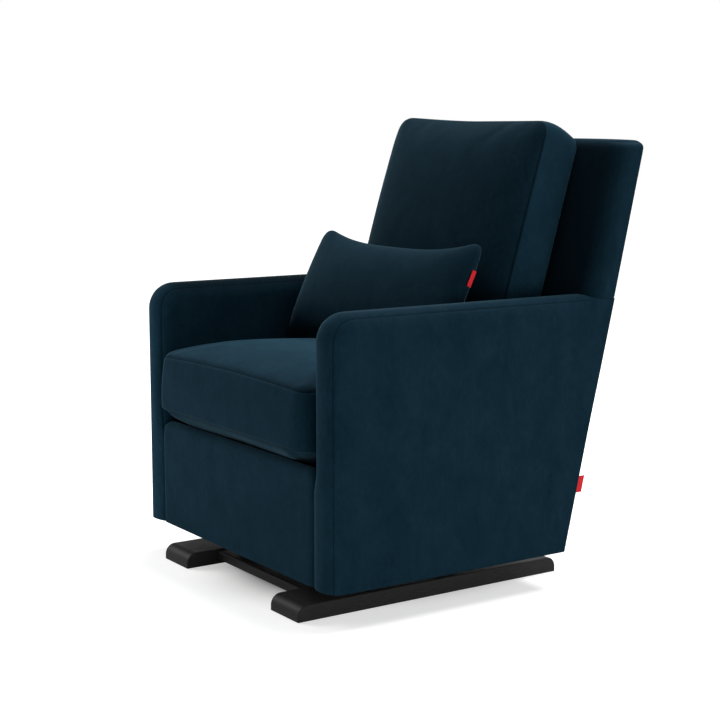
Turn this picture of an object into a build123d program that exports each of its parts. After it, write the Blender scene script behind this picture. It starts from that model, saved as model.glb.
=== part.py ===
from build123d import *
import os
from math import atan2, cos, degrees, radians, sin

# Glider nursery chair. Millimetres, +Z up, the chair faces -Y, origin on the floor under the middle.
# Left and right are the sitter's: left is +X.

# Overall size
WIDTH = 760.0
DEPTH = 776.0
FRONT = -DEPTH / 2
REAR = DEPTH / 2
HALF = WIDTH / 2

# Margin for picking edges and for cutting clear through
MARGIN = 1.0

# Upholstered body
BODY_BOTTOM = 75.5
BACK_TOP = 909.0
REAR_BOTTOM = 192.0
REAR_SLOPE = (REAR - REAR_BOTTOM) / (BACK_TOP - BODY_BOTTOM)
PANEL_THICK = 8.0
PANEL_EDGE = 4.0
PAD_THICK = 12.0
HEM = 4.0
SEAM_GAP = 0.3

# Arms: bull-nosed over the front and the crest, square at ARM_TOP where the back's head sits on them
ARM_THICK = 76.0
ARM_INNER = HALF - ARM_THICK
ARM_FRONT = FRONT + 12.0
ARM_CREST = 600.0
ARM_TOP = 591.0
ARM_NOSE = 36.0
ARM_CORNER = 56.0
ARM_PAD = 19.0

# Back: the head is as wide as the chair, the lower part fits between the arms
BACK_FACE = 250.0
BACK_FACE_SLOPE = 0.262
BACK_LOW = 292.0
HEAD_CHEEK = 38.0
HEAD_BROW = 16.0

# Apron under the seat cushion
APRON_FRONT = -372.0
APRON_TOP = 302.0
APRON_THICK = 20.0
APRON_EDGE = 11.0
APRON_CORNER = 20.0
APRON_TUCK = 9.0

# Timber frame
POST_INNER = 318.0
POST_OUTER = 360.0
POST_DEPTH = 26.0
POST_BACK_SET = PANEL_THICK + 3.0
POST_TOP = BACK_TOP - 16.0
TIMBER_LOW = 82.0
FRONT_POST = (-353.0, -318.0)
FRONT_RAIL = (-352.0, -327.0)
REAR_RAIL = (145.0, 170.0)
ARM_RAIL_TOP = ARM_TOP - 22.0
ARM_RAIL_DEEP = 35.0
SEAT_RAIL_TOP = 270.0
SEAT_RAIL_DEEP = 45.0
BOTTOM_RAIL_DEEP = 40.0
BACK_BOARD = 20.0
BACK_RAIL_DEEP = 42.0
MIDDLE_RAIL_TOP = ARM_TOP - 6.0
LOW_RAIL_TOP = BACK_LOW + 58.0
BLOCK_LEG = 58.0
BLOCK_HIGH = 60.0
BLOCK_TOP = SEAT_RAIL_TOP - 10.0

# Seat springs and deck
SPRING_COUNT = 5
SPRING_STEP = 112.0
SPRING_HALF = 25.0
SPRING_WIRE = 1.9
SPRING_LOOPS = 16
SPRING_BEND = 11.0
SPRING_Z = 272.5
CLIP_LONG = 20.0
CLIP_WIDE = 12.0
CLIP_HIGH = 6.4
CLIP_SLOT = 2.6
DECK_LOW = 277.0
DECK_TOP = 291.0
DECK_GAP = 1.0
WEB_COUNT = 4
WEB_WIDE = 50.0
WEB_STEP = 66.0
WEB_THICK = 1.6
WEB_LOW = ARM_TOP + 16.0

# Runners and stretchers
RUNNER_INNER = 173.3
RUNNER_OUTER = 276.8
RUNNER_FRONT = -385.0
RUNNER_REAR = 257.5
RUNNER_TOP = 33.0
RUNNER_BASE = 1.0
RUNNER_TOE = 11.0
RUNNER_EDGE = 2.5
STRETCHER_LOW = 12.0
STRETCHER_TOP = 31.0
STRETCHER_WIDE = 92.0
STRETCHER_EDGE = 5.0
FRONT_STRETCHER = -312.0
REAR_STRETCHER = 14.0
DOWEL_R = 4.0
DOWEL_HALF = 25.0
DOWEL_SHARES = (0.25, 0.75)
PAD_R = 15.0
PAD_HIGH = 3.0
PAD_SET = 60.0

# Glide mechanism: upper pivots on the base, lower pivots on the chair
PIVOT_FRONT = -245.0
PIVOT_REAR = 60.0
PIVOT_HIGH = 245.0
LINK_LENGTH = 140.0
PIVOT_LOW = PIVOT_HIGH - LINK_LENGTH
GLIDE_ANGLE = 22.0
GLIDE_TRAVEL = LINK_LENGTH * sin(radians(GLIDE_ANGLE))
LINK_INNER = 172.0
LINK_OUTER = 178.0
LINK_HALF = 12.0
BUSH_R = 8.0
PIN_R = 5.0
PIN_PLAY = 0.06
BUSH_PROUD = 1.0
BUSH_GAP = 0.2
BUSH_INNER = LINK_INNER - BUSH_PROUD
BUSH_OUTER = LINK_OUTER + BUSH_PROUD
THREAD_R = 4.0
THREAD_LONG = 10.0
HEAD_R = 9.0
HEAD_HIGH = 5.0
NUT_R = 8.0
NUT_HIGH = 7.0
STEEL = 4.0
UPRIGHT_OUTER = 160.0
UPRIGHT_INNER = UPRIGHT_OUTER - STEEL
UPRIGHT_HALF = 20.0
UPRIGHT_TOP = PIVOT_HIGH + 17.0
UPRIGHT_ROUND = 16.0
FOOT_REACH = 42.0
GUSSET_STEEPNESS = 3.0
RAIL_INNER = 183.0
RAIL_LOW = 86.0
RAIL_TOP = 126.0
RAIL_FLANGE = 20.0
RAIL_TAB = 40.0
RAIL_BOLT_RISES = (11.0, 28.0)
RAIL_BOLT_GRIP = 20.0
STOP_R = 14.0
STOP_GAP = 1.0
STOP_Z = PIVOT_LOW + 45.0
BOLT_R = 3.0
BOLT_HEAD_R = 6.0
BOLT_HEAD = 4.0
BOLT_PLACE = 0.6
BOLT_COVER = 2.0

# Seat cushion
SEAT_HALF = 296.0
SEAT_LOW = 293.0
SEAT_SEAM = 450.0
SEAT_REAR = 168.0
SEAT_SIDE_SWELL = 3.0
SEAT_DRAW = 4.0
SEAT_SHOULDER = 22.0
SEAT_SHOULDER_SHARE = 0.6
SEAT_SHOULDER_SWELL = 1.0
SEAT_STEP = 3.0
SEAT_LIP = 24.0
# Each station: distance behind the front, crown of the top, share of the draw
SEAT_STATIONS = [
    (0.0, 6.0, 0.0),
    (110.0, 36.0, 0.6),
    (250.0, 42.0, 1.0),
    (400.0, 30.0, 0.6),
    (SEAT_REAR - FRONT, 20.0, 0.0),
]

# Back cushion
CUSHION_HALF = 258.0
CUSHION_FRONT = 132.5
CUSHION_FRONT_SLOPE = 0.303
CUSHION_REAR = 229.0
CUSHION_REAR_SLOPE = 0.2965
CUSHION_LEVEL = 600.0
CUSHION_LOW = 486.0
CUSHION_TOP_DROP = 38.0
CUSHION_TOP_SWELL = 10.0
# Each station: share of the half width, height of the front top seam, front crown, rear crown
CUSHION_STATIONS = [
    (1.0, 951.0, 10.0, 3.0),
    (0.93, 953.0, 28.0, 5.0),
    (0.74, 950.0, 50.0, 9.0),
    (0.38, 947.0, 65.0, 13.0),
    (0.0, 946.0, 69.0, 14.0),
]

# Lumbar pillow
PILLOW_HALF = 282.0
# Each station: share of the half width, lower edge (y, z), upper edge (y, z), rear and front swell
PILLOW_STATIONS = [
    (1.0, (-60.0, 473.0), (54.0, 709.0), 5.0, 5.0),
    (0.92, (-58.0, 478.0), (52.0, 701.0), 28.0, 24.0),
    (0.72, (-56.0, 487.0), (49.0, 692.0), 54.0, 44.0),
    (0.36, (-53.0, 498.0), (47.0, 683.0), 74.0, 59.0),
    (0.0, (-52.0, 502.0), (46.0, 681.0), 80.0, 63.0),
]

# Woven tags
TAG_LONG = 34.0
TAG_OUT = 18.0
TAG_THICK = 1.2
SIDE_TAG_LOW = 195.0
SIDE_TAG_SET = 5.5
PILLOW_TAG_PLACE = 0.7
PILLOW_TAG_WIDE = 9.0
PILLOW_TAG_PROUD = 2.0


def rear_y(z):
    """Rear face of the body at height z."""
    return REAR_BOTTOM + REAR_SLOPE * (z - BODY_BOTTOM)


def back_face_y(z):
    """Front face of the upholstered back at height z."""
    return BACK_FACE + BACK_FACE_SLOPE * (z - ARM_TOP)


def box(xs, ys, zs):
    """Box between pairs of limits along X, Y and Z."""
    sizes = [b - a for a, b in (xs, ys, zs)]
    middle = [(a + b) / 2 for a, b in (xs, ys, zs)]
    return Pos(*middle) * Box(*sizes)


def side_prism(outline, x_low, x_high):
    """Outline of (y, z) points, extruded along X."""
    face = make_face(Polyline(*outline, close=True))
    return extrude(Plane.YZ.offset(x_low) * face, x_high - x_low)


def cross_rod(radius, x_low, x_high, y, z):
    """Round rod along X."""
    middle = Pos((x_low + x_high) / 2, y, z)
    return middle * Rot(0, 90, 0) * Cylinder(radius, x_high - x_low)


def leaning_board(x_low, x_high, z_low, z_high, back_set, thick):
    """Board that leans with the rear of the body, its rear face back_set in front of it."""
    outline = [
        (rear_y(z_low) - back_set - thick, z_low),
        (rear_y(z_low) - back_set, z_low),
        (rear_y(z_high) - back_set, z_high),
        (rear_y(z_high) - back_set - thick, z_high),
    ]
    return side_prism(outline, x_low, x_high)


def swollen(corners, swells):
    """Face through corners, counter-clockwise, each side swollen outwards by its own rise."""
    edges = []
    for a, b, swell in zip(corners, corners[1:] + corners[:1], swells):
        run = Vector(b[0] - a[0], b[1] - a[1])
        if swell == 0:
            edges.append(Line(a, b))
            continue
        out = Vector(run.Y, -run.X).normalized() * swell
        middle = ((a[0] + b[0]) / 2 + out.X, (a[1] + b[1]) / 2 + out.Y)
        edges.append(ThreePointArc(a, middle, b))
    return make_face(Curve() + edges)


def mirrored_stations(stations):
    """Stations from the far end to the near end, mirrored about the middle one, which is the last."""
    return [(-share, *rest) for share, *rest in stations] + stations[-2::-1]


def both(shape):
    """A left shape and its mirror image, as (side, shape) pairs."""
    return [("left", shape), ("right", mirror(shape, about=Plane.YZ))]


def on_both_sides(shapes):
    """Left shapes and their mirror images, as one list."""
    return shapes + [mirror(s, about=Plane.YZ) for s in shapes]


parts = {}


# Base: runners, pads, stretchers and dowels
def runner():
    low, high = RUNNER_BASE, RUNNER_TOP
    rise = high - RUNNER_TOE
    turn = rise * cos(radians(45))
    toe = Line((RUNNER_FRONT, low), (RUNNER_FRONT, RUNNER_TOE))
    nose = ThreePointArc(
        (RUNNER_FRONT, RUNNER_TOE),
        (RUNNER_FRONT + rise - turn, RUNNER_TOE + turn),
        (RUNNER_FRONT + rise, high),
    )
    top = Line((RUNNER_FRONT + rise, high), (RUNNER_REAR - rise, high))
    tail = ThreePointArc(
        (RUNNER_REAR - rise, high),
        (RUNNER_REAR - rise + turn, RUNNER_TOE + turn),
        (RUNNER_REAR, RUNNER_TOE),
    )
    heel = Line((RUNNER_REAR, RUNNER_TOE), (RUNNER_REAR, low))
    sole = Line((RUNNER_REAR, low), (RUNNER_FRONT, low))
    face = make_face(Curve() + [toe, nose, top, tail, heel, sole])
    body = extrude(Plane.YZ.offset(RUNNER_INNER) * face, RUNNER_OUTER - RUNNER_INNER)
    long_edges = body.edges().filter_by(Axis.Y).group_by(Axis.Z)[-1]
    return fillet(long_edges, RUNNER_EDGE)


def floor_pads():
    x = (RUNNER_INNER + RUNNER_OUTER) / 2
    ys = [RUNNER_FRONT + PAD_SET, (RUNNER_FRONT + RUNNER_REAR) / 2, RUNNER_REAR - PAD_SET]
    return [Pos(x, y, PAD_HIGH / 2) * Cylinder(PAD_R, PAD_HIGH) for y in ys]


def stretcher(front):
    ends = (-RUNNER_INNER, RUNNER_INNER)
    board = box(ends, (front, front + STRETCHER_WIDE), (STRETCHER_LOW, STRETCHER_TOP))
    return fillet(board.edges().filter_by(Axis.X).group_by(Axis.Z)[-1], STRETCHER_EDGE)


def dowels():
    z = (STRETCHER_LOW + STRETCHER_TOP) / 2
    inner, outer = RUNNER_INNER - DOWEL_HALF, RUNNER_INNER + DOWEL_HALF
    found = []
    for front in (FRONT_STRETCHER, REAR_STRETCHER):
        for share in DOWEL_SHARES:
            found.append(cross_rod(DOWEL_R, inner, outer, front + share * STRETCHER_WIDE, z))
    return found


# Base: uprights that carry the upper pivots
def upright(pivot_y):
    inner = UPRIGHT_INNER
    wide = (pivot_y - UPRIGHT_HALF, pivot_y + UPRIGHT_HALF)
    blade = box((inner, UPRIGHT_OUTER), wide, (STRETCHER_TOP, UPRIGHT_TOP))
    blade = fillet(blade.edges().filter_by(Axis.X).group_by(Axis.Z)[-1], UPRIGHT_ROUND)
    foot = box((UPRIGHT_OUTER - FOOT_REACH, inner), wide, (STRETCHER_TOP, STRETCHER_TOP + STEEL))
    low, reach = STRETCHER_TOP + STEEL, FOOT_REACH - STEEL
    corner = [(inner, low), (inner, low + GUSSET_STEEPNESS * reach), (inner - reach, low)]
    gusset = Plane.XZ.offset(-pivot_y) * make_face(Polyline(*corner, close=True))
    web = extrude(gusset, STEEL / 2, both=True)
    return blade + foot + web - cross_rod(THREAD_R, inner, UPRIGHT_OUTER, pivot_y, PIVOT_HIGH)


def foot_bolts():
    x = UPRIGHT_INNER - BOLT_PLACE * FOOT_REACH
    top = STRETCHER_TOP + STEEL
    shank = top - STRETCHER_LOW - BOLT_COVER
    reach = BOLT_PLACE * UPRIGHT_HALF
    found = []
    for pivot_y in (PIVOT_FRONT, PIVOT_REAR):
        for y in (pivot_y - reach, pivot_y + reach):
            stem = Pos(x, y, top - shank / 2) * Cylinder(BOLT_R, shank)
            found.append(stem + Pos(x, y, top + BOLT_HEAD / 2) * Cylinder(BOLT_HEAD_R, BOLT_HEAD))
    return found


def nut(x_low, x_high, y, z):
    hexagon = Plane.YZ.offset(x_low) * Pos(y, z) * RegularPolygon(NUT_R, 6)
    return extrude(hexagon, x_high - x_low) - cross_rod(THREAD_R, x_low, x_high, y, z)


def upper_bolt(y):
    end = BUSH_OUTER + BUSH_GAP
    collar = cross_rod(NUT_R, UPRIGHT_OUTER, BUSH_INNER - BUSH_GAP, y, PIVOT_HIGH)
    pin = cross_rod(PIN_R, UPRIGHT_OUTER, end, y, PIVOT_HIGH)
    head = cross_rod(HEAD_R, end, end + HEAD_HIGH, y, PIVOT_HIGH)
    thread = cross_rod(THREAD_R, UPRIGHT_INNER - THREAD_LONG, UPRIGHT_OUTER, y, PIVOT_HIGH)
    return collar + pin + head + thread


def lower_bolt(y):
    start = BUSH_INNER - BUSH_GAP
    head = cross_rod(HEAD_R, start - HEAD_HIGH, start, y, PIVOT_LOW)
    pin = cross_rod(PIN_R, start, RAIL_INNER, y, PIVOT_LOW)
    collar = cross_rod(NUT_R, BUSH_OUTER + BUSH_GAP, RAIL_INNER, y, PIVOT_LOW)
    thread = cross_rod(THREAD_R, RAIL_INNER, RAIL_INNER + STEEL + THREAD_LONG, y, PIVOT_LOW)
    return head + pin + collar + thread


# Swing links and their bushes
def swing_link(y):
    bar = box((LINK_INNER, LINK_OUTER), (y - LINK_HALF, y + LINK_HALF), (PIVOT_LOW, PIVOT_HIGH))
    for z in (PIVOT_LOW, PIVOT_HIGH):
        bar += cross_rod(LINK_HALF, LINK_INNER, LINK_OUTER, y, z)
    for z in (PIVOT_LOW, PIVOT_HIGH):
        bar -= cross_rod(BUSH_R, LINK_INNER, LINK_OUTER, y, z)
    return bar


def link_bushes(y):
    found = []
    for z in (PIVOT_LOW, PIVOT_HIGH):
        sleeve = cross_rod(BUSH_R, BUSH_INNER, BUSH_OUTER, y, z)
        found.append(sleeve - cross_rod(PIN_R + PIN_PLAY, BUSH_INNER, BUSH_OUTER, y, z))
    return found


# Chair: glide rails, their bolts and the stops
def rail_bolts():
    x = RAIL_INNER + BOLT_PLACE * RAIL_TAB
    turn = Rot(90, 0, 0)
    shank = RAIL_BOLT_GRIP + STEEL
    found = []
    for rise in RAIL_BOLT_RISES:
        z = RAIL_LOW + rise
        for wall, way in ((FRONT_RAIL[1], 1), (REAR_RAIL[0], -1)):
            stem = Pos(x, wall + way * (STEEL - shank / 2), z) * turn * Cylinder(BOLT_R, shank)
            head_y = wall + way * (STEEL + BOLT_HEAD / 2)
            found.append(stem + Pos(x, head_y, z) * turn * Cylinder(BOLT_HEAD_R, BOLT_HEAD))
    return found


def glide_rail(bolts):
    start, end = FRONT_RAIL[1], REAR_RAIL[0]
    rail = box((RAIL_INNER, RAIL_INNER + STEEL), (start, end), (RAIL_LOW, RAIL_TOP))
    rail += box((RAIL_INNER, RAIL_INNER + RAIL_FLANGE), (start, end), (RAIL_TOP - STEEL, RAIL_TOP))
    for ys in ((start, start + STEEL), (end - STEEL, end)):
        rail += box((RAIL_INNER, RAIL_INNER + RAIL_TAB), ys, (RAIL_LOW, RAIL_TOP))
    for y in (PIVOT_FRONT, PIVOT_REAR):
        rail -= cross_rod(THREAD_R, RAIL_INNER, RAIL_INNER + STEEL, y, PIVOT_LOW)
    for bolt in bolts:
        rail -= bolt
    return rail


def glide_stops():
    x = UPRIGHT_OUTER - STEEL / 2
    reach = UPRIGHT_HALF + GLIDE_TRAVEL + STOP_GAP
    spans = [(FRONT_RAIL[1], PIVOT_FRONT - reach), (PIVOT_REAR + reach, REAR_RAIL[0])]
    found = []
    for low, high in spans:
        found.append(Pos(x, (low + high) / 2, STOP_Z) * Rot(90, 0, 0) * Cylinder(STOP_R, high - low))
    return found


# Chair: timber frame
def arm_rails():
    xs = (POST_INNER, POST_OUTER)
    run = (FRONT_POST[1], REAR)
    heights = {
        "arm_top_rail": (ARM_RAIL_TOP - ARM_RAIL_DEEP, ARM_RAIL_TOP),
        "arm_seat_rail": (SEAT_RAIL_TOP - SEAT_RAIL_DEEP, SEAT_RAIL_TOP),
        "arm_bottom_rail": (TIMBER_LOW, TIMBER_LOW + BOTTOM_RAIL_DEEP),
    }
    found = {}
    for name, zs in heights.items():
        behind = leaning_board(*xs, zs[0], zs[1], -REAR, REAR + POST_BACK_SET + POST_DEPTH)
        found[name] = box(xs, run, zs) - behind
    return found


def back_rail(top):
    back_set = POST_BACK_SET + (POST_DEPTH - BACK_BOARD) / 2
    return leaning_board(-POST_INNER, POST_INNER, top - BACK_RAIL_DEEP, top, back_set, BACK_BOARD)


def corner_block(y, way):
    side = POST_INNER
    corner = [(side, y), (side - BLOCK_LEG, y), (side, y + way * BLOCK_LEG)]
    face = Plane.XY.offset(BLOCK_TOP - BLOCK_HIGH) * make_face(Polyline(*corner, close=True))
    return extrude(face, BLOCK_HIGH, dir=(0, 0, 1))


# Chair: springs, clips, deck and webbing
def seat_spring(x):
    start = (FRONT_RAIL[0] + FRONT_RAIL[1]) / 2
    end = (REAR_RAIL[0] + REAR_RAIL[1]) / 2
    step = (end - start) / SPRING_LOOPS
    points = []
    for k in range(SPRING_LOOPS + 1):
        sides = (-SPRING_HALF, SPRING_HALF) if k % 2 == 0 else (SPRING_HALF, -SPRING_HALF)
        points += [(x + s, start + k * step, SPRING_Z) for s in sides]
    path = FilletPolyline(*points, radius=SPRING_BEND)
    profile = Plane(path @ 0, z_dir=path % 0) * Circle(SPRING_WIRE)
    return sweep(profile, path)


def spring_xs():
    return [(k - (SPRING_COUNT - 1) / 2) * SPRING_STEP for k in range(SPRING_COUNT)]


def spring_clips():
    heights = (SEAT_RAIL_TOP, SEAT_RAIL_TOP + CLIP_HIGH)
    found = []
    for x in spring_xs():
        for rail in (FRONT_RAIL, REAR_RAIL):
            y = (rail[0] + rail[1]) / 2
            long = (x - CLIP_LONG / 2, x + CLIP_LONG / 2)
            saddle = box(long, (y - CLIP_WIDE / 2, y + CLIP_WIDE / 2), heights)
            groove = box(long, (y - CLIP_SLOT, y + CLIP_SLOT), (SEAT_RAIL_TOP, SPRING_Z + CLIP_SLOT))
            found.append(saddle - groove)
    return found


def back_webbing():
    front_set = POST_BACK_SET + POST_DEPTH
    found = []
    for k in range(WEB_COUNT):
        z = WEB_LOW + k * WEB_STEP
        found.append(leaning_board(-POST_OUTER, POST_OUTER, z, z + WEB_WIDE, front_set, WEB_THICK))
    return found


# Upholstery
def arm_slab(inset, rear_inset, x_low, x_high, corner_radius):
    """Side of the arm, inset from its front and crest and rounded at its upper front corner."""
    low, high = BODY_BOTTOM + min(inset, HEM), ARM_CREST - inset
    outline = [
        (ARM_FRONT + inset, low),
        (rear_y(low) - rear_inset, low),
        (rear_y(high) - rear_inset, high),
        (ARM_FRONT + inset, high),
    ]
    slab = side_prism(outline, x_low, x_high)
    corner = slab.edges().filter_by(Axis.X).group_by(Axis.Z)[-1].sort_by(Axis.Y)[0]
    return fillet(corner, corner_radius)


def arm_cover(timbers):
    slab = arm_slab(0, PANEL_THICK, ARM_INNER, HALF, ARM_CORNER)
    rims = slab.edges().filter_by(Axis.X, reverse=True)
    raised = [e for e in rims if e.center().Z > BODY_BOTTOM + MARGIN]
    fronts = [e for e in raised if e.center().Y < ARM_FRONT + ARM_CORNER]
    tops = [e for e in raised if e.center().Z > ARM_CREST - MARGIN]
    nosed = fillet(fronts + tops, ARM_NOSE)
    crest = side_prism(back_outline(ARM_TOP, ARM_CREST + MARGIN, 0, -MARGIN), ARM_INNER, HALF)
    shoulder = side_prism(back_outline(ARM_TOP - ARM_NOSE, ARM_TOP, 0, PANEL_THICK), ARM_INNER, HALF)
    hollow = arm_slab(ARM_PAD, POST_BACK_SET, ARM_INNER + PAD_THICK, HALF - PAD_THICK, ARM_CORNER - ARM_PAD)
    cover = nosed - crest + shoulder - hollow
    for timber in timbers:
        cover -= timber
    return cover


def front_apron(noses):
    """Apron whose ends run in behind the curve of the arms' noses."""
    ends = (-ARM_INNER - APRON_TUCK, ARM_INNER + APRON_TUCK)
    pad = box(ends, (APRON_FRONT, APRON_FRONT + APRON_THICK), (BODY_BOTTOM, APRON_TOP))
    pad = fillet(pad.edges().filter_by(Axis.Y).group_by(Axis.Z)[-1], APRON_CORNER)
    front = pad.edges().group_by(Axis.Y)[0]
    pad = fillet([e for e in front if e.center().Z > APRON_TOP - APRON_CORNER], APRON_EDGE)
    for nose in noses:
        pad -= nose
    return pad


def back_outline(z_low, z_high, front_inset, rear_inset):
    """Corners of the back's side between two heights."""
    return [
        (back_face_y(z_low) + front_inset, z_low),
        (rear_y(z_low) - rear_inset, z_low),
        (rear_y(z_high) - rear_inset, z_high),
        (back_face_y(z_high) + front_inset, z_high),
    ]


def back_cover(timbers):
    low_half = ARM_INNER - SEAM_GAP
    upper = side_prism(back_outline(ARM_TOP, BACK_TOP, 0, PANEL_THICK), -HALF, HALF)
    ends = upper.edges().group_by(Axis.X)
    uprights = [group.sort_by(SortBy.LENGTH)[-2:] for group in (ends[0], ends[-1])]
    cheeks = [min(pair, key=lambda e: e.center().Y) for pair in uprights]
    upper = fillet(cheeks, HEAD_CHEEK)
    rim = upper.edges().group_by(Axis.Z)[-1]
    upper = fillet(rim.sort_by(Axis.Y)[:-1], HEAD_BROW)
    lower = side_prism(back_outline(BACK_LOW, ARM_TOP, 0, PANEL_THICK), -low_half, low_half)
    high_inside = back_outline(ARM_TOP, BACK_TOP - HEAD_BROW, PAD_THICK, POST_BACK_SET)
    low_inside = back_outline(BACK_LOW + PAD_THICK, ARM_TOP, PAD_THICK, POST_BACK_SET)
    cover = upper + lower
    cover -= side_prism(high_inside, -POST_OUTER, POST_OUTER)
    cover -= side_prism(low_inside, -low_half + PAD_THICK, low_half - PAD_THICK)
    for timber in timbers:
        cover -= timber
    return cover


def outside_back():
    panel = leaning_board(-HALF, HALF, BODY_BOTTOM, BACK_TOP, 0, PANEL_THICK)
    rear = [e for e in panel.edges() if e.center().Y > rear_y(e.center().Z) - MARGIN]
    return fillet(rear, PANEL_EDGE)


# Cushions
def seat_cushion():
    """Cushion that lies on the deck, its front stepped up over the apron."""
    faces = []
    for along, crown, draw in SEAT_STATIONS:
        half = SEAT_HALF - SEAT_DRAW * draw
        shoulder = SEAT_SEAM + SEAT_SHOULDER_SHARE * crown
        corners = [
            (-half, SEAT_LOW),
            (half, SEAT_LOW),
            (half, SEAT_SEAM),
            (half - SEAT_SHOULDER, shoulder),
            (SEAT_SHOULDER - half, shoulder),
            (-half, SEAT_SEAM),
        ]
        rise = SEAT_SEAM + crown - shoulder
        side, slope = SEAT_SIDE_SWELL, SEAT_SHOULDER_SWELL
        face = swollen(corners, [0, side, slope, rise, slope, side])
        faces.append(Plane.XZ.offset(-FRONT - along) * face)
    behind = APRON_FRONT + APRON_THICK + SEAT_STEP
    step = box((-HALF, HALF), (FRONT - MARGIN, behind), (SEAT_LOW - MARGIN, APRON_TOP + SEAT_STEP))
    body = loft(faces) - step
    lip = body.edges().group_by(Axis.Y)[0].sort_by(Axis.Z)[0]
    return fillet(lip, SEAT_LIP)


def cushion_front(z):
    return CUSHION_FRONT + CUSHION_FRONT_SLOPE * (z - CUSHION_LEVEL)


def cushion_rear(z):
    return CUSHION_REAR + CUSHION_REAR_SLOPE * (z - CUSHION_LEVEL)


def back_cushion():
    faces = []
    for share, top, front_crown, rear_crown in mirrored_stations(CUSHION_STATIONS):
        rear_top = top - CUSHION_TOP_DROP
        corners = [
            (cushion_front(CUSHION_LOW), CUSHION_LOW),
            (cushion_rear(CUSHION_LOW), CUSHION_LOW),
            (cushion_rear(rear_top), rear_top),
            (cushion_front(top), top),
        ]
        face = swollen(corners, [0, rear_crown, CUSHION_TOP_SWELL, front_crown])
        faces.append(Plane.YZ.offset(share * CUSHION_HALF) * face)
    return loft(faces)


def lumbar_pillow():
    faces = []
    for share, low, high, rear_swell, front_swell in mirrored_stations(PILLOW_STATIONS):
        face = swollen([low, high], [rear_swell, front_swell])
        faces.append(Plane.YZ.offset(share * PILLOW_HALF) * face)
    return loft(faces)


def side_tag():
    inner = HALF - SIDE_TAG_SET
    return leaning_board(inner, inner + TAG_THICK, SIDE_TAG_LOW, SIDE_TAG_LOW + TAG_LONG, -TAG_OUT, TAG_OUT)


def pillow_tag():
    """Tag folded over the pillow's left end."""
    low, high = PILLOW_STATIONS[0][1:3]
    lean = degrees(atan2(high[0] - low[0], high[1] - low[1]))
    y, z = [a + PILLOW_TAG_PLACE * (b - a) for a, b in zip(low, high)]
    place = Pos(PILLOW_HALF + PILLOW_TAG_PROUD / 2, y, z) * Rot(-lean, 0, 0)
    return place * Box(PILLOW_TAG_PROUD, PILLOW_TAG_WIDE, TAG_LONG)


# Assemble the base
pads = on_both_sides(floor_pads())
pins = on_both_sides(dowels())
feet = on_both_sides(foot_bolts())
for side, shape in both(runner()):
    for cut in pads + pins:
        shape -= cut
    parts[f"runner_{side}"] = shape
for name, front in (("front_stretcher", FRONT_STRETCHER), ("rear_stretcher", REAR_STRETCHER)):
    board = stretcher(front)
    for cut in pins + feet:
        board -= cut
    parts[name] = board
parts["floor_pads"] = pads
parts["stretcher_dowels"] = pins
parts["foot_bolts"] = feet
upper_bolts = []
upper_nuts = []
lower_bolts = []
lower_nuts = []
for place, y in (("front", PIVOT_FRONT), ("rear", PIVOT_REAR)):
    for side, shape in both(upright(y)):
        for cut in feet:
            shape -= cut
        parts[f"upright_{place}_{side}"] = shape
    for side, shape in both(swing_link(y)):
        parts[f"swing_link_{place}_{side}"] = shape
    for side, shapes in (("left", link_bushes(y)), ("right", on_both_sides(link_bushes(y))[2:])):
        parts[f"link_bushes_{place}_{side}"] = shapes
    upper_bolts.append(upper_bolt(y))
    upper_nuts.append(nut(UPRIGHT_INNER - NUT_HIGH, UPRIGHT_INNER, y, PIVOT_HIGH))
    lower_bolts.append(lower_bolt(y))
    lower_nuts.append(nut(RAIL_INNER + STEEL, RAIL_INNER + STEEL + NUT_HIGH, y, PIVOT_LOW))
parts["upper_pivot_bolts"] = on_both_sides(upper_bolts)
parts["upper_pivot_nuts"] = on_both_sides(upper_nuts)
parts["lower_pivot_bolts"] = on_both_sides(lower_bolts)
parts["lower_pivot_nuts"] = on_both_sides(lower_nuts)

# Assemble the chair's frame
bolts = rail_bolts()
for side, shape in both(glide_rail(bolts)):
    parts[f"glide_rail_{side}"] = shape
bolts = on_both_sides(bolts)
parts["rail_bolts"] = bolts
parts["glide_stops"] = on_both_sides(glide_stops())
for name, ys in (("front_rail", FRONT_RAIL), ("rear_rail", REAR_RAIL)):
    board = box((-POST_INNER, POST_INNER), ys, (TIMBER_LOW, SEAT_RAIL_TOP))
    for cut in bolts:
        board -= cut
    parts[name] = board
front_post = box((POST_INNER, POST_OUTER), FRONT_POST, (TIMBER_LOW, ARM_RAIL_TOP))
back_post = leaning_board(POST_INNER, POST_OUTER, TIMBER_LOW, POST_TOP, POST_BACK_SET, POST_DEPTH)
timbers = {"arm_front_post": front_post, "back_post": back_post, **arm_rails()}
for name, timber in timbers.items():
    for side, shape in both(timber):
        parts[f"{name}_{side}"] = shape
rails = {
    "back_top_rail": back_rail(POST_TOP),
    "back_middle_rail": back_rail(MIDDLE_RAIL_TOP),
    "back_low_rail": back_rail(LOW_RAIL_TOP),
}
parts.update(rails)
blocks = [corner_block(FRONT_RAIL[1], 1), corner_block(REAR_RAIL[0], -1)]
parts["corner_blocks"] = on_both_sides(blocks)
parts["seat_springs"] = [seat_spring(x) for x in spring_xs()]
parts["spring_clips"] = spring_clips()
deck_ends = (-ARM_INNER + DECK_GAP, ARM_INNER - DECK_GAP)
parts["seat_deck"] = box(deck_ends, (FRONT_RAIL[0], REAR_RAIL[1]), (DECK_LOW, DECK_TOP))
webbing = back_webbing()
parts["back_webbing"] = webbing

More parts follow.
